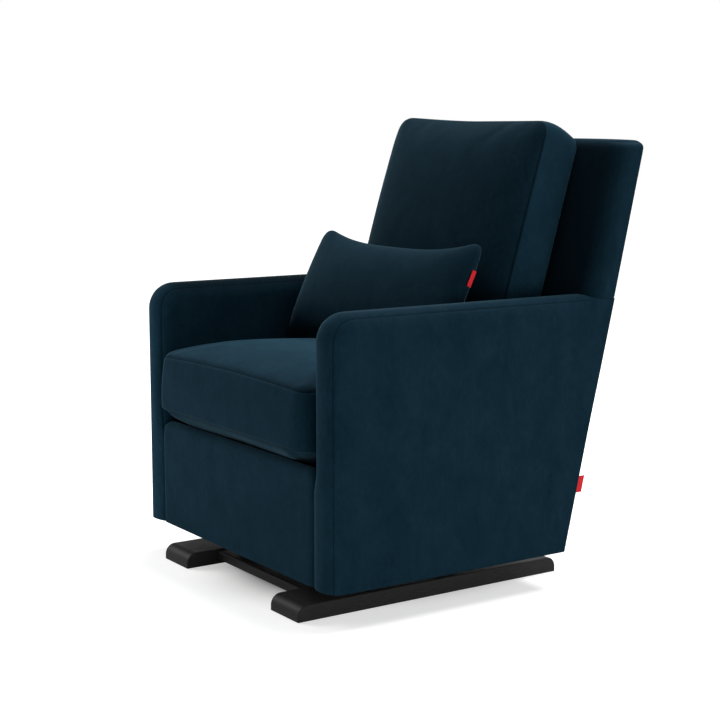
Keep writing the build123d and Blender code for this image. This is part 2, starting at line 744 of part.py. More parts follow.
# Assemble the upholstery
seat_rails = [parts["front_rail"], parts["rear_rail"], parts["seat_deck"]]
for side, shape in both(arm_cover([*timbers.values(), *rails.values(), *seat_rails, *blocks])):
    parts[f"arm_cover_{side}"] = shape
posts = [back_post, mirror(back_post, about=Plane.YZ)]
parts["back_cover"] = back_cover([*posts, *rails.values()])
parts["front_apron"] = front_apron([parts["arm_cover_left"], parts["arm_cover_right"]])
parts["outside_back_panel"] = outside_back()
parts["seat_cushion"] = seat_cushion()
parts["back_cushion"] = back_cushion()
parts["lumbar_pillow"] = lumbar_pillow()
parts["side_tag"] = side_tag()
parts["pillow_tag"] = pillow_tag()

os.makedirs("parts", exist_ok=True)
for name, shape in parts.items():
    whole = Compound(children=list(shape)) if isinstance(shape, list) else shape
    export_step(whole, f"parts/{name}.step")
print(len(parts), "nodes")
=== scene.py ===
import math

import bmesh
import bpy
import numpy as np
from bpy.props import FloatProperty, FloatVectorProperty, PointerProperty
from bpy.types import Operator, Panel, PropertyGroup
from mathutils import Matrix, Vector


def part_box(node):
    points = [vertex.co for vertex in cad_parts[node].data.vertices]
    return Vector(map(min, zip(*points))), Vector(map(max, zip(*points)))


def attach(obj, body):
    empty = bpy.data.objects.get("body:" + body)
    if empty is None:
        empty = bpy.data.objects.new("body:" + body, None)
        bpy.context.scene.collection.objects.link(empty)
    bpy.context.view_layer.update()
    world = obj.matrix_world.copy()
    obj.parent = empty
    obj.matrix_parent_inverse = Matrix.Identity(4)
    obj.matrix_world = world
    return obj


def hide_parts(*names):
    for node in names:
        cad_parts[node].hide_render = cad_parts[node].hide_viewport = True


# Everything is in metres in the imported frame: +Z up, the chair faces -Y, left (the sitter's) is +X.
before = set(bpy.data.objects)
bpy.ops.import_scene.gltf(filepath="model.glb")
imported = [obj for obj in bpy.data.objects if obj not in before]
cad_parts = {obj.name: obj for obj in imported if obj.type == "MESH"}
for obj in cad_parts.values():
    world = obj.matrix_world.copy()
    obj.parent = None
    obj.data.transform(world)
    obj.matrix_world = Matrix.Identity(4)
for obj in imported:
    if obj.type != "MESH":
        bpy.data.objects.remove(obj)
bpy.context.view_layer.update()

bl_info = {
    "name": "Glider nursery chair",
    "version": (1, 0, 0),
    "blender": (4, 5, 0),
    "location": "View3D > Sidebar > Glider",
    "description": "Dresses the packed glider chair: velvet upholstery, stained base and a studio stage",
    "category": "Object",
}

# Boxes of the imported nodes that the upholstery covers
SEAT_LOW, SEAT_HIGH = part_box("seat_cushion")
BACK_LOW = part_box("back_cushion")[0]
PILLOW_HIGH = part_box("lumbar_pillow")[1]
ARM_LOW, ARM_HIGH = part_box("arm_cover_left")
APRON_LOW, APRON_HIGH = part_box("front_apron")
COVER_LOW, COVER_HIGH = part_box("back_cover")
PANEL_LOW, PANEL_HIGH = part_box("outside_back_panel")
DECK_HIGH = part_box("seat_deck")[1]

# Lines of the body: the rear face runs straight from its foot to its top, the back's face leans less
REAR_FOOT, REAR_TOP = 0.194, 0.3905
PANEL_THICK, PANEL_INSET, PANEL_PROUD = 0.008, 0.006, 0.0015
ARM_CROWN, ARM_NOSE, ARM_CORNER = 0.009, 0.036, 0.056
HEAD_CHEEK, HEAD_BROW, HEAD_CORNER, HEAD_ARCH = 0.045, 0.016, 0.012, 0.004
APRON_CORNER, APRON_EDGE = 0.027, 0.018
BACK_BASE = ARM_HIGH.z - ARM_CROWN
BACK_FACE, BACK_FACE_LEAN = 0.250, 0.262
# Arms: their nose ends at the back's face; beside the apron they are wider, up to a height and for a length
ARM_NOSE_FROM, ARM_NOSE_TO = -0.004, 0.036
ARM_SPREAD, ARM_TAPER, ARM_SPREAD_FROM, ARM_SPREAD_TO = 0.014, 0.045, 0.04, 0.06

# Seat cushion: its top seam, its rolled lip, its band's belly, and its pattern's place in the node's box
SEAT_SEAM, SEAT_LIP, SEAT_BELLY = 0.447, 0.024, 0.004
SEAT_SIDE_IN, SEAT_FRONT_IN, SEAT_REAR_IN = 0.007, 0.006, 0.002
# Its flare fades under the rim, its top and lip turn wider than the pattern, its crown is lower at the rear
SEAT_FLARE_FADE, SEAT_CROWN_RUN = 0.05, 0.25
SEAT_TOP_TURN, SEAT_LIP_TURN = 1.25, 2.0
SEAT_REAR_LOWER, SEAT_LOWER_FROM, SEAT_LOWER_TO = 0.65, -0.24, 0.06
SEAT_LIP_FROM, SEAT_LIP_TO = 0.04, 0.10

# Back cushion: its flat pattern, its front and rear lines from a datum height, its ears and its two folds
CUSHION_HALF, CUSHION_TOP, CUSHION_DEEP = 0.256, 0.942, 0.0965
CUSHION_DATUM = 0.600
CUSHION_FRONT, CUSHION_FRONT_LEAN = 0.1325, 0.303
CUSHION_REAR, CUSHION_REAR_LEAN = 0.229, 0.2965
CUSHION_DROP, CUSHION_REAR_SWELL = 0.033, 0.006
CUSHION_EAR, CUSHION_FAR_EAR, CUSHION_ARCH, CUSHION_BAND_ARCH = 0.008, 0.011, 0.006, 0.007
CUSHION_FAR_SIDE, CUSHION_FAR_TOP = 0.007, 0.005
CUSHION_FOLDS = (((-0.135, 0.95), (-0.245, 0.86), 0.011), ((0.15, 0.95), (0.07, 0.88), 0.009))
FOLD_DEPTH = 0.0028

# Pillow: its flat pattern, the (y, z) of its two long edges at the corners and their sag in the middle
PILLOW_TALL, PILLOW_EDGE, PILLOW_CORNER = 0.262, 0.0016, 0.034
PILLOW_FOOT, PILLOW_FOOT_SAG = (-0.060, 0.473), (0.008, 0.029)
PILLOW_HEAD, PILLOW_HEAD_SAG = (0.054, 0.713), (-0.008, -0.032)
PILLOW_FRONT_FULL, PILLOW_REAR_FULL = 0.062, 0.078
PILLOW_LEFT_EAR, PILLOW_RIGHT_EAR = 0.009, 0.003
PILLOW_SHIFT_X, PILLOW_SHIFT_Y = 0.004, 0.003

# Grid steps of the plain covers along x, their depth and z, where a depth from 0 to 1 is a share
ARM_GRID, HEAD_GRID, INSIDE_GRID = (0.0076, 0.016, 0.010), (0.0105, 0.1, 0.0105), (0.02, 0.25, 0.02)
PANEL_GRID, APRON_GRID = (0.014, 0.003, 0.014), (0.012, 0.005, 0.010)
ARM_SEAM_SHARE, HEAD_SEAM_SHARE = 0.0042, 0.03

# Painted light and shade of each panel: how much lighter its velvet is painted than the plain cloth, or
# darker below 0; it stands in for how the lamps light or shade each panel, and some follow which way the
# surface faces
SEAT_FRONT_PAINTED_LIGHT, SEAT_REAR_PAINTED_LIGHT, SEAT_LEFT_PAINTED_SHADE, SEAT_BAND_PAINTED_LIGHT = 0.20, 0.35, -0.40, 0.36
BACK_FRONT_PAINTED_SHADE, BACK_BAND_PAINTED_LIGHT = -0.27, 0.20
PILLOW_PAINTED_SHADE, APRON_PAINTED_LIGHT, HEAD_PAINTED_SHADE, ARM_FRONT_PAINTED_LIGHT = -0.14, 0.40, -0.58, 0.45
FAR_ARM_FRONT_PAINTED_LIGHT, FAR_ARM_TOP_PAINTED_SHADE = 1.15, -0.75

# Air between the soft pieces and what is beside, under or behind them; the inside back's lap under the head
ARM_GAP, APRON_GAP, DECK_GAP, BACK_GAP, INSIDE_GAP = 0.002, 0.001, 0.0005, 0.001, 0.0005
CUSHION_FOOT_IN, APRON_REACH, INSIDE_LAP = 0.002, 0.002, 0.002

# How far the stuffing may move each cushion's cloth
SEAT_CAP, BACK_CAP, PILLOW_CAP = 0.024, 0.022, 0.020

# Lamps: name, the stage's power setting, place and size; all look at one point of the chair
LAMPS = (
    ("key_light", "key", (-2.7, -1.9, 1.9), (1.8, 1.8)),
    ("fill_light", "fill", (2.6, 0.35, 0.40), (2.6, 0.7)),
    ("top_light", "top", (0.0, 1.1, 3.2), (3.0, 2.4)),
)
LAMP_AIM = (0, 0, 0.45)
FLOOR_SIZE = 40.0

# Depth of each effect's bump, and the settings of a node that multiplies two colours
BUMP_DEPTH = {"velvet_nap": 0.0006, "wood_grain": 0.0005, "fine_mottle": 0.0004, "plain_weave": 0.0004}
TIMES = {"data_type": "RGBA", "blend_type": "MULTIPLY", "Factor": 1.0}
# Kinds of socket by how many numbers they hold
SOCKETS = {1: "NodeSocketFloat", 3: "NodeSocketVector", 4: "NodeSocketColor"}


def rear_y(z):
    """Rear face of the body at height z."""
    share = (z - PANEL_LOW.z) / (PANEL_HIGH.z - PANEL_LOW.z)
    return REAR_FOOT + (REAR_TOP - REAR_FOOT) * share


def back_face_y(z):
    """Front face of the upholstered back at height z."""
    return BACK_FACE + BACK_FACE_LEAN * (z - BACK_BASE)


class GliderFabric(PropertyGroup):
    pile: FloatVectorProperty(
        name="Pile colour", description="Velvet seen straight on", subtype="COLOR",
        default=(0.0030, 0.0134, 0.0226), min=0, max=1)
    brushed: FloatVectorProperty(
        name="Brushed colour", description="Velvet where the nap is brushed the light way", subtype="COLOR",
        default=(0.0062, 0.0212, 0.0336), min=0, max=1)
    sheen: FloatVectorProperty(
        name="Sheen colour", description="Light caught by the tips of the pile", subtype="COLOR",
        default=(0.36, 0.63, 0.77), min=0, max=1)
    nap_size: FloatProperty(
        name="Nap patches", description="Size of the brushed patches", subtype="DISTANCE", unit="LENGTH",
        default=0.055, min=0.005, max=0.5)
    grid: FloatProperty(
        name="Cloth grid", description="Spacing of the cloth's grid before it is subdivided",
        subtype="DISTANCE", unit="LENGTH", default=0.0095, min=0.004, max=0.05)
    seam_half: FloatProperty(
        name="Seam half width", description="From a seam to the cloth's first line beside it",
        subtype="DISTANCE", unit="LENGTH", default=0.0026, min=0.001, max=0.01)
    seam_depth: FloatProperty(
        name="Seam depth", description="How far a seam pulls the cloth in",
        subtype="DISTANCE", unit="LENGTH", default=0.0042, min=0, max=0.02)


class GliderCushions(PropertyGroup):
    seat_crown: FloatProperty(
        name="Seat crown", description="Rise of the seat cushion's top before it is stuffed",
        subtype="DISTANCE", unit="LENGTH", default=0.010, min=0, max=0.1)
    seat_shoulder: FloatProperty(
        name="Seat shoulder", description="Quarter-round rise of the top beside its seam",
        subtype="DISTANCE", unit="LENGTH", default=0.015, min=0, max=0.05)
    seat_bow: FloatProperty(
        name="Seat bow", description="How much higher the front's top seam is in its middle",
        subtype="DISTANCE", unit="LENGTH", default=0.008, min=0, max=0.05)
    seat_flare: FloatProperty(
        name="Seat flare", description="How far the side band's foot stands out",
        subtype="DISTANCE", unit="LENGTH", default=0.008, min=0, max=0.03)
    seat_corner: FloatProperty(
        name="Seat corner", description="Radius of the seat cushion's corners in plan",
        subtype="DISTANCE", unit="LENGTH", default=0.030, min=0.005, max=0.1)
    seat_boxing: FloatProperty(
        name="Seat boxing", description="Height of the seat cushion's side band",
        subtype="DISTANCE", unit="LENGTH", default=0.113, min=0.02, max=0.2)
    back_crown: FloatProperty(
        name="Back crown", description="Swell of the back cushion's front before it is stuffed",
        subtype="DISTANCE", unit="LENGTH", default=0.066, min=0, max=0.15)
    back_corner: FloatProperty(
        name="Back corner", description="Radius of the back cushion's corners",
        subtype="DISTANCE", unit="LENGTH", default=0.034, min=0.005, max=0.1)
    pillow_swell: FloatProperty(
        name="Pillow swell", description="Share of the pillow's swell before it is stuffed",
        subtype="FACTOR", default=0.80, min=0, max=1)
    pressure: FloatProperty(
        name="Stuffing", description="Pressure of the stuffing in the cloth simulation",
        default=4.0, min=0, max=20)


class GliderFinishes(PropertyGroup):
    runner: FloatVectorProperty(
        name="Runner stain", description="Black stained hardwood of the base", subtype="COLOR",
        default=(0.0172, 0.0172, 0.0172), min=0, max=1)
    timber: FloatVectorProperty(
        name="Frame timber", description="Kiln-dried hardwood inside the upholstery", subtype="COLOR",
        default=(0.42, 0.27, 0.14), min=0, max=1)
    paint: FloatVectorProperty(
        name="Steel paint", description="Powder coat of the glide mechanism", subtype="COLOR",
        default=(0.016, 0.016, 0.017), min=0, max=1)
    plating: FloatVectorProperty(
        name="Zinc plating", description="Bolts, nuts and springs", subtype="COLOR",
        default=(0.52, 0.53, 0.54), min=0, max=1)
    tag: FloatVectorProperty(
        name="Tag colour", description="Plain woven tags on the pillow and the back", subtype="COLOR",
        default=(0.70, 0.020, 0.028), min=0, max=1)


class GliderStage(PropertyGroup):
    camera_place: FloatVectorProperty(
        name="Camera place", description="Where the camera stands", subtype="TRANSLATION", unit="LENGTH",
        default=(2.7236, -1.8919, 0.9293))
    azimuth: FloatProperty(
        name="Azimuth", description="Camera's turn round the chair, 0 looks along +Y", subtype="ANGLE",
        default=math.radians(56.026))
    pitch: FloatProperty(
        name="Pitch", description="How far the camera looks down", subtype="ANGLE",
        default=math.radians(8.354))
    lens: FloatProperty(
        name="Lens", description="Focal length on a 36 mm sensor", subtype="DISTANCE_CAMERA", default=78.14)
    ambient: FloatProperty(
        name="Ambient", description="Light of the white room round the chair", default=0.21, min=0, max=2)
    key: FloatProperty(
        name="Key light", description="Power of the large soft light", subtype="POWER", unit="POWER",
        default=72.0, min=0, max=1000)
    fill: FloatProperty(
        name="Fill light", description="Power of the soft light on the other side",
        subtype="POWER", unit="POWER", default=29.0, min=0, max=1000)
    top: FloatProperty(
        name="Top light", description="Power of the overhead softbox", subtype="POWER", unit="POWER",
        default=150.0, min=0, max=1000)


# Mesh helpers
def clear_selection():
    if bpy.context.object and bpy.context.object.mode != "OBJECT":
        bpy.ops.object.mode_set(mode="OBJECT")
    bpy.ops.object.select_all(action="DESELECT")


def select_only(piece):
    clear_selection()
    piece.select_set(True)
    bpy.context.view_layer.objects.active = piece


def read_points(piece):
    points = np.zeros(len(piece.data.vertices) * 3, np.float32)
    piece.data.vertices.foreach_get("co", points)
    return points.reshape(-1, 3).astype(float)


def write_points(piece, points):
    piece.data.vertices.foreach_set("co", points.astype(np.float32).ravel())
    piece.data.update()


def shape(piece, x, y, z):
    write_points(piece, np.stack([x, y, z], axis=1))


def point_normals(piece):
    normals = np.zeros(len(piece.data.vertices) * 3, np.float32)
    piece.data.vertices.foreach_get("normal", normals)
    return normals.reshape(-1, 3).astype(float)


def spread(low, high, step, seam=0.0):
    """Grid lines from low to high, with one more just inside each end where a seam runs."""
    count = max(2, round((high - low) / step))
    lines = list(np.linspace(low, high, count + 1))
    if seam:
        lines = [low, low + seam, *lines[1:-1], high - seam, high]
    return np.array(lines)


def cloth_lines(fabric, *spans):
    """Grid lines of a sewn block, one set for each (low, high)."""
    return [spread(low, high, fabric.grid, fabric.seam_half) for low, high in spans]


def lattice_block(name, *lines):
    """Closed block of quads on three sets of grid lines, with each point's place and line numbers."""
    clear_selection()
    bpy.ops.mesh.primitive_cube_add(size=1.0, location=(0, 0, 0))
    block = bpy.context.object
    block.name = block.data.name = name
    bpy.ops.object.mode_set(mode="EDIT")
    bpy.ops.mesh.select_mode(type="EDGE")
    for axis in range(3):
        cuts = len(lines[axis]) - 2
        if cuts < 1:
            continue
        mesh = bmesh.from_edit_mesh(block.data)
        for edge in mesh.edges:
            run = edge.verts[1].co - edge.verts[0].co
            edge.select_set(abs(run[axis]) > 0.5 * run.length)
        bmesh.update_edit_mesh(block.data)
        bpy.ops.mesh.subdivide(number_cuts=cuts)
    bpy.ops.object.mode_set(mode="OBJECT")
    unit = read_points(block) + 0.5
    number = np.stack([np.rint(unit[:, a] * (len(lines[a]) - 1)).astype(int) for a in range(3)], axis=1)
    place = np.stack([lines[a][number[:, a]] for a in range(3)], axis=1)
    write_points(block, place)
    return block, place, number


def ends(number, axis):
    """Masks of the points on the first and the last grid line along an axis."""
    return number[:, axis] == 0, number[:, axis] == number[:, axis].max()


def rim(number, *axes):
    """Mask of the points on an outer grid line along any of the axes."""
    return np.any([mask for axis in axes for mask in ends(number, axis)], axis=0)


def corner_pull(a, b, radius):
    """Moves that round a square corner; a and b are measured outwards from the corner's centre."""
    p, q = np.clip(a / radius, 0, 1), np.clip(b / radius, 0, 1)
    return radius * p * (np.sqrt(1 - q * q / 2) - 1), radius * q * (np.sqrt(1 - p * p / 2) - 1)


def round_corners(x, other, half, edges, radius):
    """Rounds a block's corners in place, between its two sides and each edge, given as (place, way)."""
    for edge, way in edges:
        dx, move = corner_pull(np.abs(x) - half + radius, way * (other - edge) + radius, radius)
        x += np.sign(x) * dx
        other += way * move


def under_rim(p, q, radius):
    """Depth under an outline with a round corner, from the depths under its two sides, and its normal."""
    turning = (p < radius) & (q < radius)
    reach = np.maximum(np.hypot(radius - p, radius - q), 1e-9)
    depth = np.where(turning, radius - reach, np.minimum(p, q))
    out_p = np.where(turning, (radius - p) / reach, p <= q)
    out_q = np.where(turning, (radius - q) / reach, p > q)
    return depth, out_p, out_q


def dome(u, power):
    """1 in the middle of -1..1 and 0 at both ends."""
    return 1 - np.clip(np.abs(u), 0, 1) ** power


def round_in(inward, radius=0.030):
    """Quarter-round rise from 0 at an edge to 1 at a radius inside it."""
    return np.sqrt(1 - (1 - np.clip(inward / radius, 0, 1)) ** 2)


def smooth(low, high, value):
    """Eased step from 0 at low to 1 at high."""
    t = np.clip((value - low) / (high - low), 0, 1)
    return t * t * (3 - 2 * t)


def crease(a, b, start, end, width):
    """1 along a line from start, fading towards its end, and 0 beside it."""
    run_a, run_b = end[0] - start[0], end[1] - start[1]
    length = math.hypot(run_a, run_b)
    along = ((a - start[0]) * run_a + (b - start[1]) * run_b) / length ** 2
    off = ((a - start[0]) * run_b - (b - start[1]) * run_a) / length
    return np.exp(-(off / width) ** 2) * np.clip(1 - along, 0, 1) * smooth(-0.05, 0.10, along)


def stuff(piece, pressure, cap, held, firm, hold=0.75, last_frame=20):
    """Blows the cloth up from inside, held by its seams and firmly at its corners, up to a cap."""
    start = read_points(piece)
    group = piece.vertex_groups.new(name="held")
    group.add(np.flatnonzero(held).tolist(), hold, "REPLACE")
    group.add(np.flatnonzero(held & firm).tolist(), 1.0, "REPLACE")
    cloth = piece.modifiers.new("Stuffing", "CLOTH")
    made = cloth.settings
    made.quality = 6
    made.mass = 0.3
    made.tension_stiffness = 14
    made.compression_stiffness = 14
    made.shear_stiffness = 6
    made.bending_stiffness = 0.6
    made.vertex_group_mass = group.name
    made.use_pressure = True
    made.uniform_pressure_force = pressure
    made.effector_weights.gravity = 0
    cloth.collision_settings.use_collision = False
    cloth.collision_settings.use_self_collision = False
    cloth.point_cache.frame_start = 1
    cloth.point_cache.frame_end = last_frame
    scene = bpy.context.scene
    for number in range(1, last_frame + 1):
        scene.frame_set(number)
    select_only(piece)
    bpy.ops.object.modifier_apply(modifier=cloth.name)
    scene.frame_set(1)
    piece.vertex_groups.clear()
    moved = read_points(piece) - start
    reach = np.linalg.norm(moved, axis=1, keepdims=True)
    write_points(piece, start + moved * cap * np.tanh(reach / cap) / np.maximum(reach, 1e-9))


def mark(piece, name, values):
    """Stores a number on each point for the velvet to read."""
    layer = piece.data.attributes.get(name) or piece.data.attributes.new(name, "FLOAT", "POINT")
    layer.data.foreach_set("value", np.asarray(values, np.float32))


def sew(piece, seam, depth):
    """Draws the cloth in along its seams and marks them for the velvet."""
    points = read_points(piece)
    points[seam] -= point_normals(piece)[seam] * depth
    write_points(piece, points)
    mark(piece, "seam", seam)


def refine(piece):
    """One round of subdivision, applied, and smooth shading."""
    select_only(piece)
    fine = piece.modifiers.new("Fine", "SUBSURF")
    fine.levels = fine.render_levels = 1
    bpy.ops.object.modifier_apply(modifier=fine.name)
    bpy.ops.object.shade_smooth()


def give(piece, material):
    piece.data.materials.clear()
    piece.data.materials.append(material)


def dress(piece, fabric, body, *nodes):
    """Gives a new piece its velvet, its body and the nodes that it stands for."""
    give(piece, velvet(fabric))
    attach(piece, body)
    if nodes:
        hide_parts(*nodes)


def mirrored(piece, name):
    """A copy of a piece on the other side, with its own mesh."""
    twin = piece.copy()
    twin.data = piece.data.copy()
    twin.name = twin.data.name = name
    bpy.context.collection.objects.link(twin)
    points = read_points(twin)
    points[:, 0] *= -1
    write_points(twin, points)
    select_only(twin)
    bpy.ops.object.mode_set(mode="EDIT")
    bpy.ops.mesh.select_all(action="SELECT")
    bpy.ops.mesh.normals_make_consistent(inside=False)
    bpy.ops.object.mode_set(mode="OBJECT")
    return twin


# Material helpers
def new_material(name):
    material = bpy.data.materials.new(name)
    material.use_nodes = True
    tree = material.node_tree
    shader = next(n for n in tree.nodes if n.type == "BSDF_PRINCIPLED")
    return material, tree, shader


def set_values(node, **values):
    """Sets a node's properties, or its inputs by their label."""
    for key, value in values.items():
        if hasattr(node, key):
            setattr(node, key, value)
        else:
            node.inputs[key.replace("_", " ")].default_value = value


def add_node(tree, kind, **values):
    node = tree.nodes.new(f"ShaderNode{kind}")
    set_values(node, **values)
    return node


def new_group(name, inputs, *outputs):
    """A shader node group; an input's default shows whether it is a number, a vector or a colour."""
    group = bpy.data.node_groups.new(name, "ShaderNodeTree")
    for label, default in inputs.items():
        socket = group.interface.new_socket(label, in_out="INPUT", socket_type=SOCKETS[np.size(default)])
        socket.default_value = default
    for label in outputs:
        kind = SOCKETS[4 if label == "Color" else 1]
        group.interface.new_socket(label, in_out="OUTPUT", socket_type=kind)
    return group, group.nodes.new("NodeGroupInput"), group.nodes.new("NodeGroupOutput")


def wire(tree, *runs):
    """Links sockets; a run is (node, its output, next node, its input)."""
    for source, given, target, taken in runs:
        tree.links.new(source.outputs[given], target.inputs[taken])


def nap_group():
    """Brushed patches, fine pile and darker seams of a velvet, times the painted light and shade that each
    point carries.
    """
    group, given, result = new_group(
        "velvet_nap",
        {"Pile": (0.01, 0.02, 0.03, 1), "Brushed": (0.02, 0.03, 0.04, 1), "Patches": 18.0},
        "Color", "Roughness", "Height")
    where = add_node(group, "TexCoord")
    stretch = add_node(group, "Mapping", Scale=(1.0, 1.0, 0.55))
    patches = add_node(group, "TexNoise", Detail=4.0, Roughness=0.60, Distortion=0.6)
    brushed = add_node(group, "MapRange", From_Min=0.22, From_Max=0.82)
    strokes = add_node(group, "TexNoise", Scale=130.0, Detail=3.0, Roughness=0.75)
    short = add_node(group, "MapRange", From_Min=0.3, From_Max=0.7, To_Min=0.86, To_Max=1.14)
    both = add_node(group, "Math", operation="MULTIPLY")
    pile = add_node(group, "TexNoise", Scale=1150.0, Detail=2.0, Roughness=0.7)
    tips = add_node(group, "MapRange", From_Min=0.3, From_Max=0.7, To_Min=0.82, To_Max=1.18)
    mix = add_node(group, "Mix", data_type="RGBA")
    speckle = add_node(group, "Mix", **TIMES)
    seam = add_node(group, "Attribute", attribute_name="seam")
    line = add_node(group, "MapRange", From_Min=0.45, From_Max=0.90, To_Min=1.0, To_Max=0.45)
    shade = add_node(group, "Mix", **TIMES)
    # Painted light and shade: each point's number, plus 1, multiplies the velvet's colour
    tone = add_node(group, "Attribute", attribute_name="tone")
    nap = add_node(group, "Math", operation="ADD")
    nap.inputs[1].default_value = 1.0
    panel = add_node(group, "Mix", **TIMES)
    rough = add_node(group, "MapRange", To_Min=0.86, To_Max=0.97)
    wire(
        group,
        (where, "Object", stretch, "Vector"), (stretch, "Vector", patches, "Vector"),
        (given, "Patches", patches, "Scale"), (where, "Object", pile, "Vector"),
        (patches, "Fac", brushed, "Value"), (brushed, "Result", mix, "Factor"),
        (given, "Pile", mix, "A"), (given, "Brushed", mix, "B"),
        (pile, "Fac", tips, "Value"), (mix, "Result", speckle, "A"),
        (stretch, "Vector", strokes, "Vector"), (strokes, "Fac", short, "Value"),
        (tips, "Result", both, 0), (short, "Result", both, 1),
        (both, "Value", speckle, "B"), (seam, "Fac", line, "Value"),
        (speckle, "Result", shade, "A"), (line, "Result", shade, "B"),
        (tone, "Fac", nap, 0), (shade, "Result", panel, "A"),
        (nap, "Value", panel, "B"), (pile, "Fac", rough, "Value"),
        (panel, "Result", result, "Color"), (rough, "Result", result, "Roughness"),
        (pile, "Fac", result, "Height"))


def grain_group():
    """Wood grain along an axis: streaks of colour and a matching height."""
    group, given, result = new_group(
        "wood_grain",
        {"Wood": (0.3, 0.2, 0.1, 1), "Streak": (0.2, 0.1, 0.05, 1), "Stretch": (1.0, 1.0, 1.0)},
        "Color", "Roughness", "Height")
    where = add_node(group, "TexCoord")
    along = add_node(group, "Mapping")
    streaks = add_node(group, "TexNoise", Scale=160.0, Detail=6.0, Roughness=0.6, Distortion=0.35)
    sharp = add_node(group, "MapRange", From_Min=0.35, From_Max=0.7)
    mix = add_node(group, "Mix", data_type="RGBA")
    rough = add_node(group, "MapRange", To_Min=0.34, To_Max=0.52)
    wire(
        group,
        (where, "Object", along, "Vector"), (given, "Stretch", along, "Scale"),
        (along, "Vector", streaks, "Vector"), (streaks, "Fac", sharp, "Value"),
        (sharp, "Result", mix, "Factor"), (given, "Wood", mix, "A"),
        (given, "Streak", mix, "B"), (sharp, "Result", rough, "Value"),
        (mix, "Result", result, "Color"), (rough, "Result", result, "Roughness"),
        (streaks, "Fac", result, "Height"))


def speckle_group():
    """Fine mottling of a painted, plated or moulded surface."""
    group, given, result = new_group(
        "fine_mottle",
        {"Base": (0.5, 0.5, 0.5, 1), "Worn": (0.6, 0.6, 0.6, 1),
         "Scale": 300.0, "Smooth": 0.3, "Rough": 0.5},
        "Color", "Roughness", "Height")
    where = add_node(group, "TexCoord")
    noise = add_node(group, "TexNoise", Detail=3.0, Roughness=0.6)
    mask = add_node(group, "MapRange", From_Min=0.35, From_Max=0.75)
    mix = add_node(group, "Mix", data_type="RGBA")
    rough = add_node(group, "MapRange")
    wire(
        group,
        (where, "Object", noise, "Vector"), (given, "Scale", noise, "Scale"),
        (noise, "Fac", mask, "Value"), (mask, "Result", mix, "Factor"),
        (given, "Base", mix, "A"), (given, "Worn", mix, "B"),
        (mask, "Result", rough, "Value"), (given, "Smooth", rough, "To Min"),
        (given, "Rough", rough, "To Max"), (mix, "Result", result, "Color"),
        (rough, "Result", result, "Roughness"), (noise, "Fac", result, "Height"))


def weave_group():
    """Plain weave of warp and weft threads on Object coordinates."""
    group, given, result = new_group(
        "plain_weave",
        {"Thread": (0.5, 0.5, 0.5, 1), "Gap": (0.2, 0.2, 0.2, 1), "Count": 400.0},
        "Color", "Height")
    where = add_node(group, "TexCoord")
    warp = add_node(group, "TexWave", bands_direction="X", Distortion=0.6, Detail=1.0)
    weft = add_node(group, "TexWave", bands_direction="DIAGONAL", Distortion=0.6, Detail=1.0)
    over = add_node(group, "Math", operation="MULTIPLY")
    mix = add_node(group, "Mix", data_type="RGBA")
    wire(
        group,
        *[(where, "Object", wave, "Vector") for wave in (warp, weft)],
        *[(given, "Count", wave, "Scale") for wave in (warp, weft)],
        (warp, "Fac", over, 0), (weft, "Fac", over, 1),
        (over, "Value", mix, "Factor"), (given, "Gap", mix, "A"),
        (given, "Thread", mix, "B"), (mix, "Result", result, "Color"),
        (over, "Value", result, "Height"))


def coat(name, effect, bump, **values):
    """A material round one of the shared effects. Returns it with its shader."""
    material, tree, shader = new_material(name)
    node = add_node(tree, "Group", node_tree=bpy.data.node_groups[effect], **values)
    relief = add_node(tree, "Bump", Strength=bump, Distance=BUMP_DEPTH[effect])
    wire(
        tree,
        (node, "Color", shader, "Base Color"), (node, "Height", relief, "Height"),
        (relief, "Normal", shader, "Normal"))
    if "Roughness" in node.outputs:
        wire(tree, (node, "Roughness", shader, "Roughness"))
    return material, shader


def velvet(fabric):
    found = bpy.data.materials.get("navy_velvet")
    if found:
        return found
    material, shader = coat(
        "navy_velvet", "velvet_nap", 0.35,
        Pile=(*fabric.pile, 1), Brushed=(*fabric.brushed, 1), Patches=1 / fabric.nap_size)
    set_values(shader, Specular_IOR_Level=0.02, Sheen_Weight=0.16, Sheen_Roughness=0.28,
               Sheen_Tint=(*fabric.sheen, 1))
    return material


def mottled(name, base, worn, roughness, scale, bump, metallic=0.0):
    """A painted, plated or moulded finish."""
    material, shader = coat(
        name, "fine_mottle", bump,
        Base=(*base, 1), Worn=(*worn, 1), Scale=scale, Smooth=roughness[0], Rough=roughness[1])
    set_values(shader, Metallic=metallic)
    return material


def wooden(name, wood, streak, stretch, bump, gloss):
    material, shader = coat(
        name, "wood_grain", bump, Wood=(*wood, 1), Streak=(*streak, 1), Stretch=stretch)
    set_values(shader, Specular_IOR_Level=gloss)
    return material


def woven(name, thread, gap, count, gloss=0.2):
    material, shader = coat(
        name, "plain_weave", 0.5, Thread=(*thread, 1), Gap=(*gap, 1), Count=count)
    set_values(shader, Roughness=0.85, Specular_IOR_Level=gloss)
    return material


def scaled(colour, by):
    return [by * c for c in colour]


def grain_along(axis, across, along):
    """Stretch of a grain that is fine across an axis and slow along it."""
    return [along if a == axis else across for a in range(3)]


def seen_rays(tree):
    """1 for the rays that show the white room: straight from the camera, mirrored or passed through."""
    rays = add_node(tree, "LightPath")
    either = add_node(tree, "Math", operation="MAXIMUM")
    seen = add_node(tree, "Math", operation="MAXIMUM")
    wire(
        tree,
        (rays, "Is Camera Ray", either, 0), (rays, "Is Glossy Ray", either, 1),
        (either, "Value", seen, 0), (rays, "Is Transmission Ray", seen, 1))
    return seen


def paint_nodes(material, *names):
    """Gives carried-over nodes their finish."""
    for name in names:
        give(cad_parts[name], material)


class GLIDER_OT_groups(Operator):
    """Build the shared effects: nap, grain, mottling and weave"""
    bl_idname = "glider.effects"
    bl_label = "Shared effects"

    def execute(self, context):
        for make in (nap_group, grain_group, speckle_group, weave_group):
            make()
        return {"FINISHED"}


